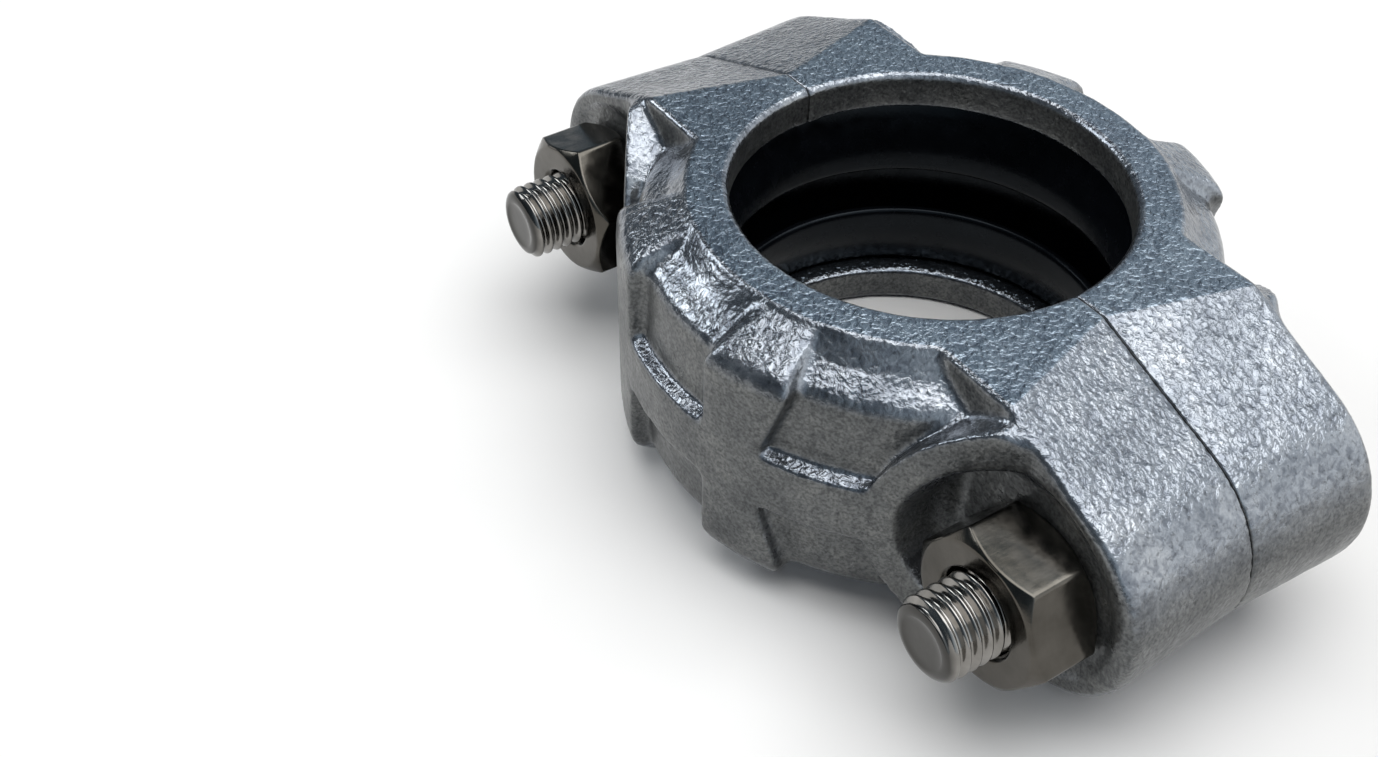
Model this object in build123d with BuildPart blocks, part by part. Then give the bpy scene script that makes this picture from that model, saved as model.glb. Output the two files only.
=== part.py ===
"""Two-bolt grooved pipe coupling for 60.3 mm pipe, in millimetres.

Z is the axis of the pipe, X runs from the left bolt to the right bolt, and the two halves
part on the plane y = 0. The origin is the centre of the bore, halfway between the side faces.
The near half, on the -Y side, carries the nuts, and the far half carries the bolt heads.
Both halves are the same casting, and the far one is turned over about X.
"""
import os
from math import acos, atan2, cos, hypot, radians, sin, tan

from build123d import *

# Keys, which grip the groove of the pipe, and the gasket's cavity between them
key_bore_radius = 28.7
key_wall = 6.3
key_edge = 0.8
housing_width = 45.0
cavity_radius = 38.2
cavity_corner = 2.0

# Ring of a half: its rim, the sloping rib tops, and the outer skin
rim_radius = 35.0
rim_ledge = 0.3
rim_step = 0.5
shoulder_drop = 4.3
shoulder_round = 4.5
body_radius = 45.0
band_width = 9.6

# Pockets between the ribs
pocket_depth = 3.2
pocket_wall_run = 2.8
pocket_fall = 3.0
window_depth = 2.8
window_draft = 0.4
pocket_foot_round = 1.2
pocket_lip_round = 3.0
rib_top_width = 7.4
rib_flank = 2.6
rib_angles = (-71.0, -114.0)
rib_spread = (1.2, 3.5)
rib_lean = (4.0, 0.0)
collar_radius = 22.5
collar_draft = 7.0

# Bolt pads and the scoops that the nuts and heads sit in
bolt_spacing = 100.6
pad_depth = 22.0
pad_radius = 15.8
pad_crease = 34.5
pad_end_radius = 16.8
pad_end_crease = 41.0
pad_edge_round = 1.0
seat_depth = 21.2
scoop_radius = 15.15
scoop_shift = 1.9
scoop_wall = 3.2
web_setback = 4.3
web_sink = 0.3

# Bolts with an oval neck, and hexagon nuts
bolt_diameter = 12.0
thread_relief = 0.3
bolt_length = 61.6
tip_chamfer = 1.3
neck_width = 12.4
neck_length = 16.4
neck_height = 8.0
hole_clearance = 0.5
head_radius = 11.4
head_height = 8.2
head_rim = 3.4
nut_across_flats = 21.0
nut_height = 10.8
nut_face_radius = 10.2
nut_chamfer_angle = 38.0
nut_bore_clearance = 0.05
nut_countersink = 0.7
left_nut_corner = 17.0
right_nut_corner = 52.5

# Gasket of C section
gasket_clearance = 0.3
lip_bore_radius = 29.3
lip_gap = 7.6
lip_thickness = 3.0
lip_tip = 1.6
gasket_back = 3.2
gasket_side = 3.0
gasket_round = 1.0

# Reach of cutting tools past what they cut
overrun = 1.0

half_width = housing_width / 2
cavity_half = half_width - key_wall
bolt_x = bolt_spacing / 2
band_half = band_width / 2
shoulder_z = half_width - rim_step - shoulder_drop
pocket_foot_radius = rim_radius + pocket_wall_run
pocket_foot_z = half_width - pocket_depth
window_radius = body_radius - window_depth
window_z = pocket_foot_z - pocket_fall
outside = body_radius + 5 * overrun
scoop_ring_radius = cavity_radius + scoop_wall


def rib_plane(angle):
    """Plane across a rib, through the pipe's axis, whose normal points out along the rib."""
    outward = Vector(cos(radians(angle)), sin(radians(angle)), 0)
    return Plane(origin=(0, 0, 0), x_dir=Vector(0, 0, 1).cross(outward), z_dir=outward)


# Collars round the nut seats, from the outer faces of the pads outward
with BuildPart() as collars:
    with BuildSketch(Plane.XZ.offset(pad_depth)):
        with Locations((bolt_x, 0), (-bolt_x, 0)):
            Circle(collar_radius)
    extrude(amount=outside - pad_depth + overrun, taper=collar_draft)


# What the pockets take out of the upper half of the ring, all round
with BuildPart() as pockets:
    with BuildSketch(Plane.XZ) as pocket_profile:
        wall_slope = pocket_wall_run / pocket_depth
        with BuildLine():
            Polyline(
                (rim_radius - wall_slope * overrun, half_width + overrun),
                (pocket_foot_radius, pocket_foot_z),
                (window_radius, window_z),
                (window_radius + window_draft, band_half + window_draft),
                (body_radius + overrun, band_half),
                (outside, band_half),
                (outside, half_width + overrun),
                close=True,
            )
        make_face()
        foot = pocket_profile.vertices().filter_by(lambda v: abs(v.Y - pocket_foot_z) < 0.1)
        fillet(foot, radius=pocket_foot_round)
        lip = pocket_profile.vertices().filter_by(lambda v: abs(v.Y - window_z) < 0.1)
        fillet(lip, radius=pocket_lip_round)
    revolve(axis=Axis.Z)

    # The ribs are left standing
    for angle, spread, lean in zip(rib_angles, rib_spread, rib_lean):
        with BuildSketch(rib_plane(angle)):
            top = rib_top_width / 2
            foot = top + rib_flank
            with BuildLine():
                Polyline(
                    (top, half_width + 2 * overrun),
                    (top, half_width),
                    (foot, window_z),
                    (foot - lean, band_half),
                    (foot - lean, 0),
                    (-foot - spread, 0),
                    (-foot - spread, window_z),
                    (-top, half_width),
                    (-top, half_width + 2 * overrun),
                    close=True,
                )
            make_face()
        extrude(amount=outside + overrun, mode=Mode.SUBTRACT)

    # So are the collars, and all of the far side
    add(collars.part, mode=Mode.SUBTRACT)
    split(bisect_by=Plane.XZ, keep=Keep.TOP)


# Flat webs that fill the corners between the pads and the ring, upper half, as high as the
# collars: each runs from its foot on the pad to where it would touch the ring
with BuildPart() as webs:
    web_foot = bolt_x - web_setback
    touch_radius = body_radius - web_sink
    touch_angle = atan2(-pad_depth, web_foot) - acos(touch_radius / hypot(web_foot, pad_depth))
    with BuildSketch():
        for side in (-1, 1):
            with BuildLine():
                Polyline(
                    (side * web_foot, -pad_depth),
                    (side * touch_radius * cos(touch_angle), touch_radius * sin(touch_angle)),
                    (side * rim_radius, overrun - pad_depth),
                    (side * web_foot, overrun - pad_depth),
                    close=True,
                )
            make_face()
    extrude(amount=collar_radius)
    add(collars.part, mode=Mode.INTERSECT)

    # They stay under the rounded edges of the pads
    with BuildSketch(Plane.XZ):
        with Locations((bolt_x, 0), (-bolt_x, 0)):
            Circle(pad_end_radius - pad_edge_round)
        Rectangle(2 * pad_end_crease, housing_width - 2 * pad_edge_round)
        make_hull()
    extrude(amount=outside, mode=Mode.INTERSECT)


# Room for a nut or a bolt head, with the wall of the cavity left standing
with BuildPart() as scoops:
    with BuildSketch(Plane.XZ.offset(seat_depth)):
        with Locations((bolt_x - scoop_shift, 0), (scoop_shift - bolt_x, 0)):
            Circle(scoop_radius)
    extrude(amount=outside)
    Cylinder(scoop_ring_radius, 2 * housing_width, mode=Mode.SUBTRACT)


# Upper half of the bar of both bolt pads: round ends about the bolts, sloping up to the side
# face, and fuller at the outer face than at the parting plane
with BuildPart() as pads:
    for depth, radius, crease in (
        (0, pad_radius, pad_crease),
        (pad_depth, pad_end_radius, pad_end_crease),
    ):
        with BuildSketch(Plane.XZ.offset(depth)):
            with Locations((bolt_x, 0), (-bolt_x, 0)):
                Circle(radius)
            Rectangle(2 * crease, housing_width)
            make_hull()
            with Locations((0, -housing_width / 2)):
                Rectangle(2 * (bolt_x + radius), housing_width, mode=Mode.SUBTRACT)
    loft(ruled=True)
    end_edges = pads.faces().sort_by(Axis.Y)[0].edges()
    fillet(end_edges.filter_by(lambda e: e.center().Z > overrun), radius=pad_edge_round)


with BuildPart() as near_housing:
    # Upper half of the ring, turned about the pipe
    with BuildSketch(Plane.XZ) as ring_profile:
        with BuildLine():
            Polyline(
                (0, 0),
                (body_radius, 0),
                (body_radius, shoulder_z),
                (rim_radius + rim_ledge, half_width - rim_step),
                (rim_radius + rim_ledge, half_width),
                (0, half_width),
                close=True,
            )
        make_face()
        shoulder = ring_profile.vertices().filter_by(lambda v: abs(v.Y - shoulder_z) < 0.1)
        fillet(shoulder, radius=shoulder_round)
    revolve(axis=Axis.Z)
    add(pockets.part, mode=Mode.SUBTRACT)

    add(pads.part)
    add(webs.part)
    split(bisect_by=Plane.XZ, keep=Keep.TOP)

    # Seats, bore, cavity and bolt holes
    add(scoops.part, mode=Mode.SUBTRACT)
    with BuildSketch(Plane.XZ) as bore_profile:
        with BuildLine():
            Polyline(
                (0, -overrun),
                (cavity_radius, -overrun),
                (cavity_radius, cavity_half),
                (key_bore_radius + key_edge / 2, cavity_half),
                (key_bore_radius, cavity_half + key_edge / 2),
                (key_bore_radius, half_width - key_edge),
                (key_bore_radius + key_edge, half_width),
                (key_bore_radius + key_edge, half_width + overrun),
                (0, half_width + overrun),
                close=True,
            )
        make_face()
        corner = bore_profile.vertices().filter_by(
            lambda v: abs(v.X - cavity_radius) < 0.1 and v.Y > 0
        )
        fillet(corner, radius=cavity_corner)
    revolve(axis=Axis.Z, mode=Mode.SUBTRACT)
    with BuildSketch(Plane.XZ):
        with Locations((bolt_x, 0), (-bolt_x, 0)):
            SlotOverall(neck_length + 2 * hole_clearance, neck_width + 2 * hole_clearance)
    extrude(amount=outside, mode=Mode.SUBTRACT)

    # The lower half is the mirror of the upper half
    mirror(about=Plane.XY)

with BuildPart() as far_housing:
    add(near_housing.part, rotation=(180, 0, 0))


# Gasket: a back, two sides, and two lips that close on the pipe
gasket_radius = cavity_radius - gasket_clearance
gasket_half = cavity_half - gasket_clearance
with BuildPart() as gasket:
    with BuildSketch(Plane.XZ) as gasket_section:
        with BuildLine():
            Polyline(
                (gasket_radius, 0),
                (gasket_radius, gasket_half),
                (lip_bore_radius, gasket_half),
                (lip_bore_radius, lip_gap / 2),
                (lip_bore_radius + lip_tip, lip_gap / 2),
                (lip_bore_radius + lip_thickness, gasket_half - gasket_side),
                (gasket_radius - gasket_back, gasket_half - gasket_side),
                (gasket_radius - gasket_back, 0),
                close=True,
            )
        make_face()
        bends = gasket_section.vertices().filter_by(
            lambda v: v.Y > gasket_half / 2 and v.X > lip_bore_radius + lip_tip
        )
        fillet(bends, radius=gasket_round)
        mirror(about=Plane.XZ)
    revolve(axis=Axis.Z)


# Bolt along Y, with its axis at the origin and the underside of its head at y = seat_depth
with BuildPart() as bolt:
    shank_radius = bolt_diameter / 2 - thread_relief
    tip_y = seat_depth - bolt_length
    dome_height = head_height - head_rim
    dome_radius = (head_radius**2 + dome_height**2) / (2 * dome_height)
    with BuildSketch(Plane.XY):
        with BuildLine():
            outline = Polyline(
                (0, seat_depth + head_height),
                (0, tip_y),
                (shank_radius - tip_chamfer, tip_y),
                (shank_radius, tip_y + tip_chamfer),
                (shank_radius, seat_depth),
                (head_radius, seat_depth),
                (head_radius, seat_depth + head_rim),
            )
            RadiusArc(outline @ 1, outline @ 0, -dome_radius)
        make_face()
    revolve(axis=Axis.Y)
    with BuildSketch(Plane.XZ.offset(-seat_depth)):
        SlotOverall(neck_length, neck_width)
    extrude(amount=neck_height)

with BuildPart() as left_bolt:
    with Locations((-bolt_x, 0, 0)):
        add(bolt.part)

with BuildPart() as right_bolt:
    with Locations((bolt_x, 0, 0)):
        add(bolt.part)


# Hexagon nut on its seat, with its axis at the origin and one corner on X
with BuildPart() as nut:
    corner_radius = nut_across_flats / 2 / cos(radians(30))
    far_radius = corner_radius + overrun
    bore_radius = bolt_diameter / 2 - thread_relief + nut_bore_clearance
    chamfer_depth = (far_radius - nut_face_radius) * tan(radians(nut_chamfer_angle))
    outer_face = -seat_depth - nut_height
    with BuildSketch(Plane.XZ.offset(seat_depth)):
        RegularPolygon(corner_radius, 6)
    extrude(amount=nut_height)
    # Chamfered corners on both faces, and the bore with its countersinks
    with BuildSketch(Plane.XY):
        with BuildLine():
            Polyline(
                (bore_radius, -seat_depth - nut_countersink),
                (bore_radius + nut_countersink, -seat_depth),
                (nut_face_radius, -seat_depth),
                (far_radius, -seat_depth - chamfer_depth),
                (far_radius, outer_face + chamfer_depth),
                (nut_face_radius, outer_face),
                (bore_radius + nut_countersink, outer_face),
                (bore_radius, outer_face + nut_countersink),
                close=True,
            )
        make_face()
    revolve(axis=Axis.Y, mode=Mode.INTERSECT)

with BuildPart() as left_nut:
    with Locations((-bolt_x, 0, 0)):
        add(nut.part, rotation=(0, -left_nut_corner, 0))

with BuildPart() as right_nut:
    with Locations((bolt_x, 0, 0)):
        add(nut.part, rotation=(0, -right_nut_corner, 0))


os.makedirs("parts", exist_ok=True)
pieces = {
    "near_housing": near_housing,
    "far_housing": far_housing,
    "gasket": gasket,
    "left_bolt": left_bolt,
    "right_bolt": right_bolt,
    "left_nut": left_nut,
    "right_nut": right_nut,
}
for name, piece in pieces.items():
    piece.part.label = name
    export_step(piece.part, f"parts/{name}.step")
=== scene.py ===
"""Looks for the two-bolt grooved coupling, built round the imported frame, in metres.

Z is the axis of the pipe, X runs from the left bolt to the right bolt, and the halves part on
y = 0, with the nuts on the -Y side.
"""
import math

import bmesh
import bpy
import numpy as np
from mathutils import Matrix, Vector, noise


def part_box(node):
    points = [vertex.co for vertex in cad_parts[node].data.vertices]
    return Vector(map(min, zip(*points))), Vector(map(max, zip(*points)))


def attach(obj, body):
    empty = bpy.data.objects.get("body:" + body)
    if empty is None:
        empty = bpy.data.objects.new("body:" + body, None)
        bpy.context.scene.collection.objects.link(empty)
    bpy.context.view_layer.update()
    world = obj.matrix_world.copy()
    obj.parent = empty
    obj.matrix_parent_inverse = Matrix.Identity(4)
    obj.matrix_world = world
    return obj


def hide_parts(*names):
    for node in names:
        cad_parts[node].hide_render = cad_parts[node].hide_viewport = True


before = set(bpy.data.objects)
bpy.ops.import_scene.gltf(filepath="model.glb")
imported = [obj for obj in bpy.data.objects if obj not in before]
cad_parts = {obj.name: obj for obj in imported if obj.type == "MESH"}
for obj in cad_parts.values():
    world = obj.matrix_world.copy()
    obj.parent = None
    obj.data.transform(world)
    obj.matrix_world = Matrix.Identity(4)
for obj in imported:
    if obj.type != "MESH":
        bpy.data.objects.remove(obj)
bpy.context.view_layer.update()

MM = 0.001
scene = bpy.context.scene
scene.view_settings.view_transform = "Standard"


def node_box(node):
    """Lowest and highest corner of a node, in millimetres."""
    return tuple(np.array(corner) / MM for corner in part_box(node))


# Places and sizes that come from the frame, in millimetres
bolt_low, bolt_high = node_box("right_bolt")
nut_low, nut_high = node_box("right_nut")
ring_low, ring_high = node_box("near_housing")
seal_high = node_box("gasket")[1]
bolt_x = (bolt_low[0] + bolt_high[0]) / 2
head_radius = (bolt_high[0] - bolt_low[0]) / 2
tip_y, head_top = bolt_low[1], bolt_high[1]
nut_front, nut_back = nut_low[1], nut_high[1]
seat_depth = -nut_back

# Sizes of the threaded end and the shank, in millimetres
pitch = 1.75
crest_radius = 5.85
root_radius = 4.95
thread_end = -9.0
runout_length = 2.5
tip_face_radius = 3.9
tip_round = 1.7
tip_dish = 0.22
# How far the plain shank stands from the thread's root towards its crest
shank_share = 0.85

# Sizes of the neck and the head, in millimetres
neck_width, neck_length, neck_height = 12.4, 16.4, 8.0
head_rim = 3.4

# Sizes of the nuts, in millimetres, and the turn of each about its bolt, in degrees
half_flats = 10.5
nut_face_radius = 10.2
nut_bore_radius = 6.0
nut_slope = math.tan(math.radians(38))
corner_turn = {"left": 17.0, "right": 52.5}


def place_camera():
    """The photograph's view. Its distance and offsets are in radii of the keys' bore."""
    azimuth, elevation, roll = (math.radians(d) for d in (56.3625, 42.5807, 0.2615))
    distance, offset_right, offset_up = 8.5533, 1.1933, 0.3902
    key_radius = 28.7
    back = Vector((
        math.sin(azimuth) * math.cos(elevation),
        -math.cos(azimuth) * math.cos(elevation),
        math.sin(elevation),
    ))
    right = Vector((math.cos(azimuth), math.sin(azimuth), 0))
    up = back.cross(right)
    place = (distance * back - offset_right * right - offset_up * up) * key_radius * MM
    turned_right = math.cos(roll) * right + math.sin(roll) * up
    turned_up = math.cos(roll) * up - math.sin(roll) * right
    camera = bpy.data.objects.new("camera", bpy.data.cameras.new("camera"))
    scene.collection.objects.link(camera)
    camera.matrix_world = Matrix((
        (turned_right.x, turned_up.x, back.x, place.x),
        (turned_right.y, turned_up.y, back.y, place.y),
        (turned_right.z, turned_up.z, back.z, place.z),
        (0, 0, 0, 1),
    ))
    camera.data.sensor_width = 36
    camera.data.lens = 42.45
    camera.data.clip_start = 0.01
    camera.data.clip_end = 20
    scene.camera = camera


place_camera()


# Materials

class Nodes:
    """A node tree whose nodes are made and wired by short calls."""

    def __init__(self, tree):
        self.tree = tree

    def add(self, kind, inputs=(), **settings):
        made = self.tree.nodes.new(kind)
        for key, value in settings.items():
            setattr(made, key, value)
        for key, value in dict(inputs).items():
            if isinstance(value, bpy.types.NodeSocket):
                self.tree.links.new(value, made.inputs[key])
            else:
                made.inputs[key].default_value = value
        return made

    def calculate(self, operation, *values):
        return self.add("ShaderNodeMath", dict(enumerate(values)), operation=operation).outputs[0]

    def span(self, value, low, high, to_low, to_high):
        """A value carried from one range to another, and held at the ends."""
        return self.add("ShaderNodeMapRange", {
            "Value": value,
            "From Min": low,
            "From Max": high,
            "To Min": to_low,
            "To Max": to_high,
        }).outputs[0]

    def ramp(self, value, *stops):
        made = self.add("ShaderNodeValToRGB", {"Fac": value})
        elements = made.color_ramp.elements
        while len(elements) < len(stops):
            elements.new(0.5)
        for element, (at, colour) in zip(elements, stops):
            element.position = at
            element.color = (*colour, 1)
        return made.outputs[0]

    def join(self, share, first, second):
        """A mix of two shaders."""
        return self.add("ShaderNodeMixShader", {0: share, 1: first, 2: second}).outputs[0]


class Shader(Nodes):
    """A material. The scales of its textures are per metre."""

    def __init__(self, name):
        self.material = bpy.data.materials.new(name)
        self.material.use_nodes = True
        super().__init__(self.material.node_tree)
        self.surface = self.tree.nodes["Principled BSDF"]
        coordinates = self.add("ShaderNodeTexCoord")
        self.place = coordinates.outputs["Object"]
        self.facing = coordinates.outputs["Normal"]

    def stretched(self, scale):
        return self.add("ShaderNodeMapping", {"Vector": self.place, "Scale": scale}).outputs[0]

    def noise(self, scale, detail=2.0, roughness=0.5, distortion=0.0, vector=None):
        return self.add("ShaderNodeTexNoise", {
            "Vector": vector or self.place,
            "Scale": scale,
            "Detail": detail,
            "Roughness": roughness,
            "Distortion": distortion,
        }).outputs["Fac"]

    def cells(self, scale):
        inputs = {"Vector": self.place, "Scale": scale, "Smoothness": 1.0}
        return self.add("ShaderNodeTexVoronoi", inputs, feature="SMOOTH_F1").outputs["Distance"]

    def levelness(self):
        """How level the surface is, from 0 on an upright wall to 1 on a flat top or bottom."""
        split = self.add("ShaderNodeSeparateXYZ", {"Vector": self.facing})
        return self.calculate("ABSOLUTE", split.outputs["Z"])

    def mix(self, share, first, second, blend="MIX"):
        """A mix of two colours, through the colour inputs 6 and 7 and the colour output 2."""
        if not isinstance(second, bpy.types.NodeSocket):
            second = (*second, 1)
        inputs = {0: share, 6: first, 7: second}
        return self.add("ShaderNodeMix", inputs, data_type="RGBA", blend_type=blend).outputs[2]

    def bump(self, height, distance, strength, under=None):
        """A bump whose distance is in millimetres, on top of the one under it."""
        inputs = {"Height": height, "Distance": distance * MM, "Strength": strength}
        if under is not None:
            inputs["Normal"] = under
        return self.add("ShaderNodeBump", inputs).outputs[0]

    def finish(self, **inputs):
        for key, value in inputs.items():
            socket = self.surface.inputs[key.replace("_", " ")]
            if isinstance(value, bpy.types.NodeSocket):
                self.tree.links.new(value, socket)
            else:
                socket.default_value = value
        return self.material


def galvanised_casting():
    """Hot-dip zinc over a sand casting, with a painted bluish tint of sky light on its top and
    bottom, and painted shade that makes its steep sides darker and browner.
    """
    look = Shader("galvanised_casting")
    level = look.levelness()
    steep = look.span(level, 0.20, 0.60, 1.0, 0.0)
    flat = look.span(level, 0.965, 0.99, 0.0, 1.0)

    patches = look.noise(110, detail=4, roughness=0.62)
    # Painted light: a lighter, bluer copy of the patchy zinc colour for level faces, and below it a
    # darker, browner painted-shade copy for steep sides
    bright = look.ramp(
        patches,
        (0.32, (0.188, 0.203, 0.225)),
        (0.50, (0.258, 0.276, 0.302)),
        (0.68, (0.325, 0.340, 0.360)),
    )
    patches_painted_shade = look.ramp(
        patches,
        (0.32, (0.110, 0.116, 0.118)),
        (0.50, (0.160, 0.166, 0.165)),
        (0.68, (0.210, 0.215, 0.208)),
    )
    mottle = look.ramp(
        look.noise(2100, detail=2, roughness=0.6),
        (0.34, (0.30, 0.30, 0.31)),
        (0.62, (1, 1, 1)),
    )
    pits = look.noise(1250, detail=3, roughness=0.65)
    wrinkles = look.noise(900, detail=3, roughness=0.55, distortion=0.6)
    cracks = look.ramp(wrinkles, (0.36, (0.56, 0.57, 0.60)), (0.56, (1, 1, 1)))
    # Painted shade: steep sides take the darker, browner copy of the patchy colour
    colour = look.mix(steep, bright, patches_painted_shade)
    # Painted light: nearly level faces get a painted bluish tint of sky light
    colour = look.mix(flat, colour, (0.82, 0.91, 0.97), "MULTIPLY")
    colour = look.mix(look.span(steep, 0, 1, 0.25, 0.75), colour, mottle, "MULTIPLY")
    colour = look.mix(look.span(pits, 0.34, 0.42, 0.5, 0.0), colour, (0.03, 0.032, 0.035))
    colour = look.mix(look.span(steep, 0, 1, 0.9, 0.5), colour, cracks, "MULTIPLY")

    # The relief is full on level faces and weaker on sloping and upright ones
    relief = look.span(level, 0.74, 0.90, 0.30, 1.0)
    normal = look.bump(wrinkles, 0.36, relief)
    normal = look.bump(look.cells(1500), -0.13, relief, under=normal)
    shine = look.noise(300, detail=4, roughness=0.6)
    roughness = look.add("ShaderNodeMix", {
        "Factor": steep,
        "A": look.span(shine, 0.3, 0.7, 0.12, 0.26),
        "B": look.span(shine, 0.3, 0.7, 0.26, 0.42),
    }).outputs[0]
    metal = look.span(steep, 0, 1, 0.88, 0.62)
    return look.finish(Base_Color=colour, Metallic=metal, Roughness=roughness, Normal=normal)


def stainless_bolt():
    """Rolled thread, bright on its crests, with a duller tip."""
    look = Shader("stainless_bolt")
    tint = look.noise(300, detail=3)
    colour = look.ramp(tint, (0.3, (0.18, 0.172, 0.158)), (0.7, (0.29, 0.278, 0.262)))
    along = look.add("ShaderNodeSeparateXYZ", {"Vector": look.place}).outputs["Y"]
    tip = look.span(along, (tip_y + 0.3) * MM, (tip_y + 0.9) * MM, 0.9, 0.0)
    colour = look.mix(tip, colour, (0.045, 0.044, 0.042))
    scratches = look.noise(900, detail=3, roughness=0.7, vector=look.stretched((1, 0.15, 1)))
    normal = look.bump(scratches, 0.02, 0.6)
    roughness = look.span(look.noise(500, detail=4), 0.3, 0.7, 0.08, 0.20)
    return look.finish(Base_Color=colour, Metallic=1.0, Roughness=roughness, Normal=normal)


def stainless_nut():
    """Forged and polished, with a brown film and faint scuffs."""
    look = Shader("stainless_nut")
    tint = look.noise(160, detail=4, roughness=0.6)
    colour = look.ramp(tint, (0.3, (0.058, 0.053, 0.045)), (0.7, (0.096, 0.089, 0.078)))
    scuffs = look.noise(1400, detail=3, roughness=0.7, vector=look.stretched((1, 0.2, 1)))
    normal = look.bump(look.noise(300, detail=2), 0.06, 0.5)
    normal = look.bump(scuffs, 0.02, 0.6, under=normal)
    roughness = look.span(look.noise(500, detail=4), 0.3, 0.7, 0.12, 0.26)
    return look.finish(Base_Color=colour, Metallic=1.0, Roughness=roughness, Normal=normal)


def black_rubber():
    """Moulded rubber with a soft sheen."""
    look = Shader("black_rubber")
    bloom = look.noise(160, detail=4)
    colour = look.ramp(bloom, (0.3, (0.0020, 0.0026, 0.0038)), (0.7, (0.004, 0.005, 0.007)))
    normal = look.bump(look.noise(2200, detail=3, roughness=0.6), 0.02, 0.5)
    normal = look.bump(look.noise(260, detail=2), 0.15, 0.3, under=normal)
    roughness = look.span(look.noise(420, detail=4), 0.3, 0.7, 0.16, 0.30)
    return look.finish(
        Base_Color=colour,
        Roughness=roughness,
        Specular_IOR_Level=0.14,
        # Painted reflection tint: the specular tint paints the rubber's reflections bluish
        Specular_Tint=(0.78, 0.90, 1.0, 1.0),
        Normal=normal,
    )


materials = {
    "galvanised_casting": galvanised_casting(),
    "stainless_bolt": stainless_bolt(),
    "stainless_nut": stainless_nut(),
    "black_rubber": black_rubber(),
}


# Pieces

def dress(piece, material):
    piece.data.materials.clear()
    piece.data.materials.append(materials[material])
    piece.data.polygons.foreach_set("use_smooth", [True] * len(piece.data.polygons))


def add_mesh(name, grid, material, close_rows=False):
    """A smooth object from rows of points in millimetres, each row closed on itself."""
    grid = np.asarray(grid, float)
    rows, columns = grid.shape[:2]
    faces = []
    for row in range(rows if close_rows else rows - 1):
        start, next_start = row * columns, (row + 1) % rows * columns
        for place in range(columns):
            beside = (place + 1) % columns
            faces.append((start + place, start + beside, next_start + beside, next_start + place))
    mesh = bpy.data.meshes.new(name)
    mesh.from_pydata((grid.reshape(-1, 3) * MM).tolist(), [], faces)
    weld = 1e-7
    work = bmesh.new()
    work.from_mesh(mesh)
    bmesh.ops.remove_doubles(work, verts=work.verts, dist=weld)
    bmesh.ops.dissolve_degenerate(work, edges=work.edges, dist=weld)
    bmesh.ops.recalc_face_normals(work, faces=work.faces)
    work.to_mesh(mesh)
    work.free()
    piece = bpy.data.objects.new(name, mesh)
    scene.collection.objects.link(piece)
    dress(piece, material)
    return piece


def around(columns):
    return np.linspace(0, 2 * np.pi, columns, endpoint=False)


def about_bolt(sign, turns, radius, y):
    """Points round a bolt's axis, which runs along Y."""
    radius = np.broadcast_to(radius, turns.shape)
    y = np.broadcast_to(y, turns.shape)
    return np.stack((sign * bolt_x + radius * np.cos(turns), y, radius * np.sin(turns)), axis=1)


def modified(mesh, kind, weights=None, **settings):
    """A mesh after one modifier, in full or by a weight for each point."""
    piece = bpy.data.objects.new("modified", mesh)
    scene.collection.objects.link(piece)
    modifier = piece.modifiers.new("modifier", kind)
    for key, value in settings.items():
        setattr(modifier, key, value)
    if weights is not None:
        group = piece.vertex_groups.new(name="soft")
        for weight in np.unique(weights):
            group.add(np.flatnonzero(weights == weight).tolist(), float(weight), "REPLACE")
        modifier.vertex_group = group.name
    graph = bpy.context.evaluated_depsgraph_get()
    result = bpy.data.meshes.new_from_object(piece.evaluated_get(graph))
    bpy.data.objects.remove(piece)
    return result


def smoothed(mesh, rounds, weights=None):
    return modified(mesh, "SMOOTH", weights, factor=0.5, iterations=rounds)


def vertex_vectors(mesh, key):
    values = np.empty(len(mesh.vertices) * 3)
    mesh.vertices.foreach_get(key, values)
    return values.reshape(-1, 3)


def add_casting(name, node, body):
    """A housing with the rounded edges and uneven skin of a casting, inside its solid.

    Its side faces and its parting face stay crisper than the pockets, ribs and seats.
    """
    voxel, weld = 0.4, 1e-6
    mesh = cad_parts[node].data.copy()
    work = bmesh.new()
    work.from_mesh(mesh)
    bmesh.ops.remove_doubles(work, verts=work.verts, dist=weld)
    work.to_mesh(mesh)
    work.free()
    cast = modified(mesh, "REMESH", mode="VOXEL", voxel_size=voxel * MM)
    cast = smoothed(cast, rounds=4)

    # The smoothing fades out towards the side faces and towards the parting face
    side_edge, side_fade, parting_fade = 0.6, 1.4, 2.5
    places = np.abs(vertex_vectors(cast, "co") / MM)
    by_side = np.clip((ring_high[2] - places[:, 2] - side_edge) / side_fade, 0.05, 1)
    by_parting = np.clip(places[:, 1] / parting_fade, 0.1, 1)
    cast = smoothed(cast, rounds=31, weights=np.round(by_side * by_parting, 2))

    # The uneven skin only sinks into the solid, in waves of two scales per metre
    deepest, coarse, fine, coarse_share = 0.14, 380, 900, 0.6
    points = vertex_vectors(cast, "co")
    heights = np.array([
        coarse_share * noise.noise(Vector(point) * coarse)
        + (1 - coarse_share) * noise.noise(Vector(point) * fine)
        for point in points
    ])
    depths = deepest * MM / 2 * (1 - np.clip(heights, -1, 1))
    points -= vertex_vectors(cast, "normal") * depths[:, None]
    cast.vertices.foreach_set("co", points.ravel())
    cast.update()
    piece = bpy.data.objects.new(name, cast)
    scene.collection.objects.link(piece)
    dress(piece, "galvanised_casting")
    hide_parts(node)
    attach(piece, body)


add_casting("near_casting", "near_housing", "near_half")
add_casting("far_casting", "far_housing", "far_half")


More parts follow.
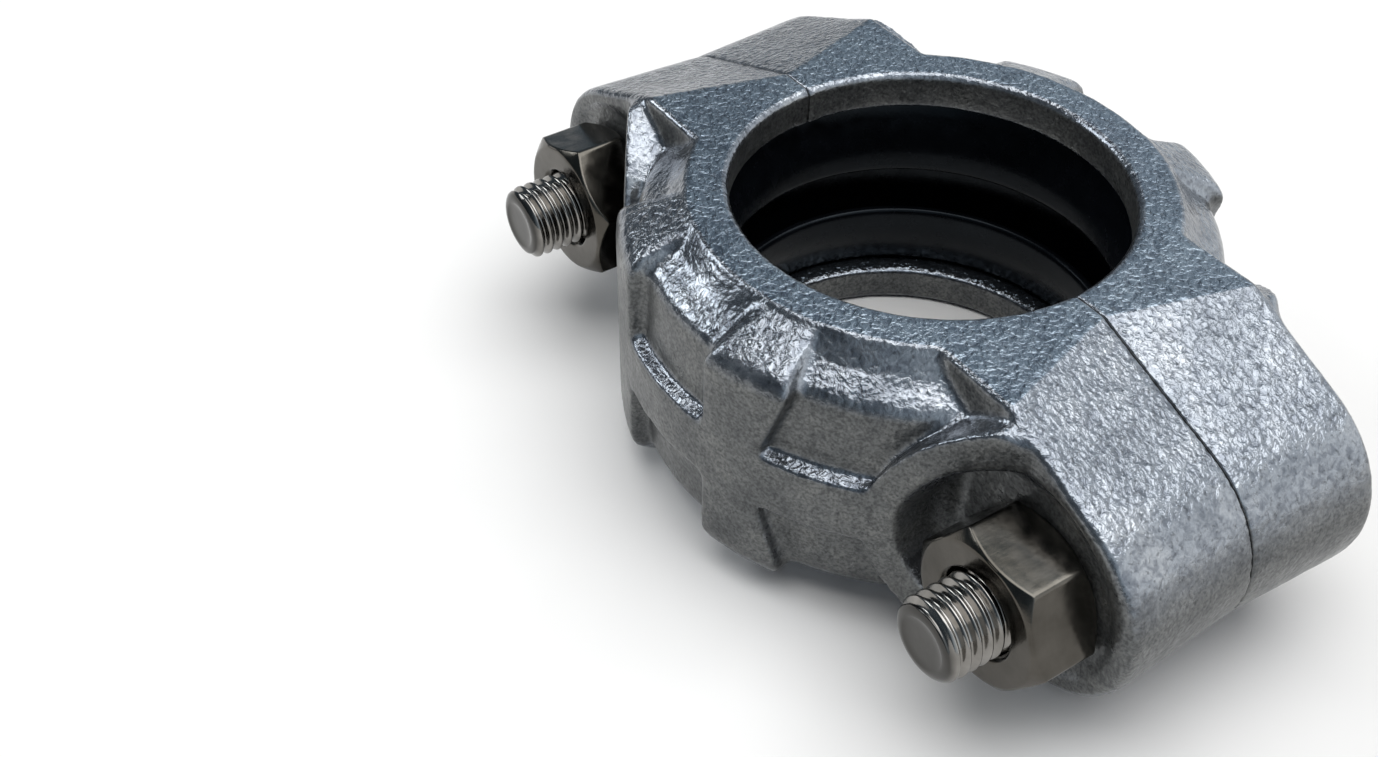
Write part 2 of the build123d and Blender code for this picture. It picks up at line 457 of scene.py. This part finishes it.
def add_seal():
    """The gasket: its section, with a lead-in on each lip, turned about Z."""
    inset = 0.05
    radius, half, lip_radius = seal_high[0] - inset, seal_high[2] - inset, 29.35
    back = [
        (radius, 0.0), (radius, 6.0), (radius, 12.0), (radius, half - 1.2),
        (radius - 0.3, half - 0.5), (radius - 0.8, half - 0.12), (radius - 1.5, half),
    ]
    side_face = [
        (34.5, half), (32.9, half), (32.4, half - 0.05), (31.95, half - 0.25),
        (31.65, half - 0.6), (31.4, half - 1.1),
    ]
    lead_in = [(30.9, 13.3), (30.35, 11.7), (29.9, 10.3), (29.6, 9.2), (29.42, 8.2)]
    lip = [
        (lip_radius, 7.2), (lip_radius, 5.2), (lip_radius + 0.05, 4.6), (lip_radius + 0.25, 4.15),
        (lip_radius + 0.6, 3.95), (lip_radius + 1.0, 3.95), (lip_radius + 1.5, 4.15),
    ]
    hollow = [
        (31.2, 4.9), (31.8, 7.5), (32.2, 10.5), (32.6, 12.0), (33.3, 12.7), (34.0, 12.3),
        (34.45, 11.5), (34.6, 10.0), (34.6, 5.0), (34.6, 0.0),
    ]
    upper = back + side_face + lead_in + lip + hollow
    section = upper + [(r, -z) for r, z in reversed(upper[1:-1])]
    turns = around(240)
    grid = [
        np.stack((r * np.cos(turns), r * np.sin(turns), np.full(turns.shape, z)), axis=1)
        for r, z in section
    ]
    piece = add_mesh("seal", grid, "black_rubber", close_rows=True)
    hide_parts("gasket")
    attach(piece, "seal")


add_seal()


def thread_height(phase):
    """Height of a rounded 60 degree thread over its root, from 0 to 1, at a share of its pitch.

    Its crest and its root are flat for about an eighth of the pitch.
    """
    softness = 0.35
    from_crest = np.abs((phase % 1.0) - 0.5) * 2
    flank = np.clip(1.16 - 1.32 * from_crest, 0, 1)
    eased = flank * flank * (3 - 2 * flank)
    return eased * softness + flank * (1 - softness)


def add_bolt(side, sign):
    """A bolt along Y: threaded end with a rounded tip, plain shank, oval neck and domed head."""
    turns = around(128)
    step = pitch / 16
    thread_depth = crest_radius - root_radius
    shank = root_radius + shank_share * thread_depth
    rows = [
        about_bolt(sign, turns, tip_face_radius * share, tip_y + tip_dish * (1 - share ** 6))
        for share in (0.0, 0.3, 0.6, 0.75, 0.86, 0.94, 1.0)
    ]
    for y in np.arange(tip_y + step, thread_end, step):
        across = min(1.0, (y - tip_y) / tip_round)
        bulge = math.sqrt(max(0.0, 1 - (1 - across) ** 2))
        cap = tip_face_radius + (crest_radius - tip_face_radius) * bulge
        threaded = min(1.0, (thread_end - y) / runout_length)
        height = thread_height(y / pitch - sign * turns / (2 * np.pi))
        radius = root_radius + thread_depth * (height * threaded + shank_share * (1 - threaded))
        rows.append(about_bolt(sign, turns, np.minimum(radius, cap), y))
    for y in (thread_end, -4.0, 0.0, 5.0, seat_depth - neck_height - 0.1):
        rows.append(about_bolt(sign, turns, shank, y))

    # The neck's oval section is long along X
    inset, edge, join = 0.05, 0.4, 0.6
    straight = (neck_length - neck_width) / 2
    for back, shrink in ((neck_height, edge), (neck_height - edge, inset), (1.0, inset), (0.1, 0.0)):
        radius = neck_width / 2 - shrink
        ring = about_bolt(sign, turns, radius, seat_depth - back)
        ring[:, 0] += straight * np.clip(radius * np.cos(turns) / join, -1, 1)
        rows.append(ring)

    rise = head_top - seat_depth - head_rim
    dome_radius = (head_radius ** 2 + rise ** 2) / (2 * rise)
    for shrink, up in ((0.5, 0.0), (0.15, 0.2), (inset, 0.6), (inset, head_rim - edge)):
        rows.append(about_bolt(sign, turns, head_radius - shrink, seat_depth + up))
    for share in (0.99, 0.965, 0.91, 0.82, 0.7, 0.56, 0.42, 0.28, 0.14, 0.0):
        radius = head_radius * share
        drop = dome_radius - math.sqrt(dome_radius ** 2 - radius ** 2)
        rows.append(about_bolt(sign, turns, radius, head_top - drop - 0.03))
    piece = add_mesh(side + "_track_bolt", rows, "stainless_bolt")
    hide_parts(side + "_bolt")
    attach(piece, side + "_bolt_body")


def add_nut(side, sign):
    """A heavy hexagon nut with eased corners and both faces chamfered."""
    turns = around(360)
    height = nut_back - nut_front
    sharpness, bevel, inset = 70, 0.14, 0.02
    flats = np.radians(60 * np.arange(6) + 30)
    reach = np.maximum(np.cos(turns[:, None] - flats), 0) / (half_flats - inset)
    # A high power mean of the six flats rounds the corners
    edge = 1 / (reach ** sharpness).sum(axis=1) ** (1 / sharpness)
    drop = np.maximum(0.0, edge - nut_face_radius) * nut_slope
    mouth = [
        (nut_bore_radius, height / 2), (nut_bore_radius, 0.9), (nut_bore_radius + 0.04, 0.72),
        (nut_bore_radius + 0.6, 0.1), (nut_bore_radius + 0.7, 0.03), (nut_bore_radius + 0.9, inset),
    ]
    face = [(8.0, inset), (nut_face_radius - 0.5, inset), (nut_face_radius - 0.12, inset + 0.01)]
    chamfer = [
        (np.minimum(nut_face_radius + 0.05, edge - 2 * bevel), inset + 0.06),
        (np.minimum(nut_face_radius + 0.22, edge - 1.5 * bevel), inset + 0.2 * nut_slope),
        (edge - bevel, drop - bevel * nut_slope + 0.04),
        (edge - bevel / 3, drop + bevel / 4),
    ]
    side_wall = [(edge, drop + bevel), (edge, drop + 3 * bevel), (edge, height / 2)]
    half = mouth + face + chamfer + side_wall
    profile = half + [(r, height - y) for r, y in reversed(half[1:-1])]
    spin = turns + math.radians(corner_turn[side])
    rows = [about_bolt(sign, spin, r, nut_front + y) for r, y in profile]
    piece = add_mesh(side + "_hex_nut", rows, "stainless_nut", close_rows=True)
    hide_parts(side + "_nut")
    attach(piece, side + "_nut_body")


for side, sign in (("left", -1), ("right", 1)):
    add_bolt(side, sign)
    add_nut(side, sign)


# Floor, world and lamps

def add_floor():
    """A pale floor that turns as white as what is behind it, far from the object."""
    reach, clearance = 3.0, 0.02
    fade_from, fade_to = 0.35, 0.9
    height = ring_low[2] * MM - clearance * MM
    corners = [
        (reach * x, reach * y, height) for x, y in ((-1, -1), (1, -1), (1, 1), (-1, 1))
    ]
    mesh = bpy.data.meshes.new("floor")
    mesh.from_pydata(corners, [], [(0, 1, 2, 3)])
    floor = bpy.data.objects.new("floor", mesh)
    scene.collection.objects.link(floor)
    look = Shader("floor")
    colour = look.ramp(look.noise(40), (0.3, (0.905, 0.905, 0.90)), (0.7, (0.925, 0.925, 0.92)))
    look.finish(Base_Color=colour, Roughness=0.9, Specular_IOR_Level=0.1)

    far = look.add("ShaderNodeVectorMath", {0: look.place}, operation="LENGTH").outputs["Value"]
    rays = look.add("ShaderNodeLightPath").outputs
    seen = look.calculate("MAXIMUM", rays["Is Camera Ray"], rays["Is Glossy Ray"])
    seen = look.calculate("MAXIMUM", seen, rays["Is Transmission Ray"])
    share = look.calculate("MULTIPLY", seen, look.span(far, fade_from, fade_to, 0.0, 1.0))
    white = look.add("ShaderNodeEmission", {"Color": (1, 1, 1, 1), "Strength": 1.0}).outputs[0]
    shown = look.join(share, look.surface.outputs[0], white)
    look.tree.links.new(shown, look.tree.nodes["Material Output"].inputs["Surface"])
    mesh.materials.append(look.material)


add_floor()


def add_softbox(name, centre, distance, reach, radiance, tint):
    """A rectangular lamp above, from the angles along X and Y of its centre and its reach."""
    lamp = bpy.data.lights.new(name, "AREA")
    lamp.shape = "RECTANGLE"
    lamp.size, lamp.size_y = (2 * distance * math.tan(math.radians(angle)) for angle in reach)
    lamp.energy = radiance * math.pi * lamp.size * lamp.size_y
    lamp.color = tint
    piece = bpy.data.objects.new(name, lamp)
    scene.collection.objects.link(piece)
    lean_x, lean_y = (math.tan(math.radians(angle)) for angle in centre)
    towards = Vector((lean_x, lean_y, 1)).normalized()
    piece.location = towards * distance
    piece.rotation_euler = towards.to_track_quat("Z", "Y").to_euler()


add_softbox(
    "top_softbox", centre=(4, 5), distance=2.4, reach=(26, 33), radiance=3.2, tint=(1.0, 0.995, 0.99)
)
add_softbox(
    "left_softbox", centre=(-54, -44), distance=2.4, reach=(11, 10), radiance=5.0,
    tint=(0.93, 0.97, 1.0)
)


def add_world():
    """A soft fill, and for mirroring faces a studio that is brightest towards +X and +Y."""
    world = bpy.data.worlds.new("world")
    scene.world = world
    world.use_nodes = True
    nodes = Nodes(world.node_tree)
    fill = nodes.tree.nodes["Background"]
    fill.inputs["Color"].default_value = (0.95, 0.97, 1.0, 1)
    fill.inputs["Strength"].default_value = 0.16

    bright_side = Vector((0.67, 0.74, 0)).normalized()
    darkest_at, brightest_at = -0.45, 1.0
    towards = nodes.add("ShaderNodeTexCoord").outputs["Generated"]
    inputs = {0: towards, 1: bright_side}
    facing = nodes.add("ShaderNodeVectorMath", inputs, operation="DOT_PRODUCT").outputs["Value"]
    tint = nodes.ramp(
        nodes.span(facing, darkest_at, brightest_at, 0.0, 1.0),
        (0.0, (0.62, 0.82, 1.0)),
        (1.0, (0.97, 0.99, 1.0)),
    )
    strength = nodes.span(facing, darkest_at, brightest_at, 0.14, 1.65)
    studio = nodes.add("ShaderNodeBackground", {"Color": tint, "Strength": strength}).outputs[0]
    white = nodes.add("ShaderNodeBackground", {"Color": (1, 1, 1, 1)}).outputs[0]

    rays = nodes.add("ShaderNodeLightPath").outputs
    mirrored = nodes.calculate("MAXIMUM", rays["Is Glossy Ray"], rays["Is Transmission Ray"])
    lit = nodes.join(mirrored, fill.outputs[0], studio)
    shown = nodes.join(rays["Is Camera Ray"], lit, white)
    nodes.tree.links.new(shown, nodes.tree.nodes["World Output"].inputs[0])


add_world()
